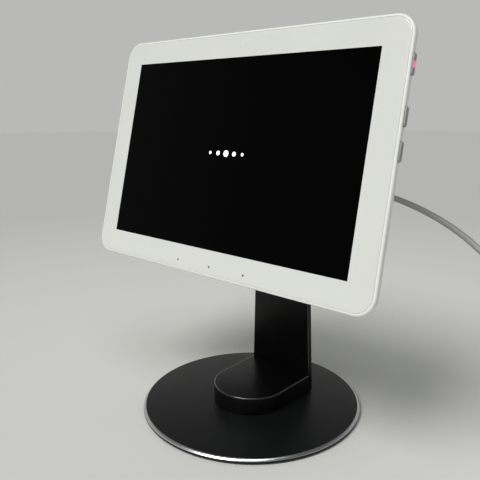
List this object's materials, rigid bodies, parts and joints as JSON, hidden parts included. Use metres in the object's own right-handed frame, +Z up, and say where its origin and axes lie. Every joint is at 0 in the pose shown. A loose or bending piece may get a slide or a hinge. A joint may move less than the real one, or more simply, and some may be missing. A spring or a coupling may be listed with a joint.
{
  "type": "smart display on a round stand",
  "caption": "Thin white touch screen unit with side buttons, on a black tilting column with a weighted round swivel base and a power lead ending in a wall adapter.",
  "frame": {"origin": "middle of the underside of the round base, on the desk", "axes": "+Z up, and the screen looks towards -Y"},
  "size_m": [0.2894, 0.1667, 0.2206],
  "materials": {
    "white_shell": "fine satin moulded plastic",
    "cover_glass": "glossy, with a white printed border and a dark window",
    "panel_black": "dark display panel",
    "foam_black": "foam",
    "plated_steel": "plated",
    "satin_black": "fine satin powder coat, with a bare turned chamfer on the disc",
    "matt_black": "matt",
    "circuit": "solder mask",
    "copper": "bare copper foil",
    "rubber_black": "matt rubber",
    "ptfe": "waxy",
    "bronze": "turned",
    "grey_button": "satin moulded plastic",
    "red_lens": "lit red light pipe",
    "white_lead": "satin extruded jacket"
  },
  "bodies": {
    "base": {"rubber_pad": "rubber_black", "base_disc": "satin_black", "swivel_bush": "bronze", "stop_pin": "plated_steel"},
    "stand": {"foot": "satin_black", "glide_washer": "ptfe", "swivel_screw": "plated_steel", "column": "satin_black", "foot_screw_left": "plated_steel", "foot_screw_right": "plated_steel", "arm_screw_upper": "plated_steel", "arm_screw_lower": "plated_steel", "hinge_arm": "satin_black", "friction_washer_left": "bronze", "friction_washer_right": "bronze", "cord_lead": "white_lead", "cord_coil": "white_lead", "cord_tail": "white_lead", "cord_tie": "matt_black", "adapter_relief": "white_lead", "adapter_body": "white_lead", "adapter_prong_left": "plated_steel", "adapter_prong_right": "plated_steel"},
    "head": {"front_frame": "white_shell", "cover_glass": "cover_glass", "glass_gasket": "foam_black", "lcd_panel": "panel_black", "rear_cover": "white_shell", "cover_screw_upper_right": "plated_steel", "cover_screw_upper_left": "plated_steel", "cover_screw_lower_right": "plated_steel", "cover_screw_lower_left": "plated_steel", "mid_plate": "plated_steel", "main_board": "circuit", "shield_can": "plated_steel", "heat_spreader": "copper", "speaker_left": "matt_black", "speaker_right": "matt_black", "antenna_left": "copper", "antenna_right": "copper", "microphone_board": "circuit", "sensor_board": "circuit", "usb_socket": "plated_steel", "mute_switch": "plated_steel", "volume_up_switch": "plated_steel", "volume_down_switch": "plated_steel", "button_board": "circuit", "tilt_bracket": "satin_black", "bracket_screw_upper_right": "plated_steel", "bracket_screw_upper_left": "plated_steel", "bracket_screw_lower_right": "plated_steel", "bracket_screw_lower_left": "plated_steel", "hinge_pin": "plated_steel", "hinge_nut": "plated_steel", "cord_plug": "white_lead", "cord_relief": "white_lead"},
    "mute_key": {"mute_button": "grey_button", "mute_lens": "red_lens"},
    "volume_up_key": {"volume_up_button": "grey_button"},
    "volume_down_key": {"volume_down_button": "grey_button"}
  },
  "joints": [
    {"name": "swivel", "type": "hinge", "parent": "base", "child": "stand", "pos_m": [0, 0, 0.0044], "axis": [0, 0, 1], "range_deg": [-80, 80]},
    {"name": "tilt", "type": "hinge", "parent": "stand", "child": "head", "pos_m": [0, 0.0112, 0.1465], "axis": [1, 0, 0], "range_deg": [-25, 15], "deforming": ["cord_lead"]},
    {"name": "mute_press", "type": "slide", "parent": "head", "child": "mute_key", "axis": [-1, 0, 0], "range_m": [0, 0.0004], "stiffness_N_per_m": 2500, "springref_m": -0.0004},
    {"name": "volume_up_press", "type": "slide", "parent": "head", "child": "volume_up_key", "axis": [-1, 0, 0], "range_m": [0, 0.0004], "stiffness_N_per_m": 2500, "springref_m": -0.0004},
    {"name": "volume_down_press", "type": "slide", "parent": "head", "child": "volume_down_key", "axis": [-1, 0, 0], "range_m": [0, 0.0004], "stiffness_N_per_m": 2500, "springref_m": -0.0004}
  ]
}
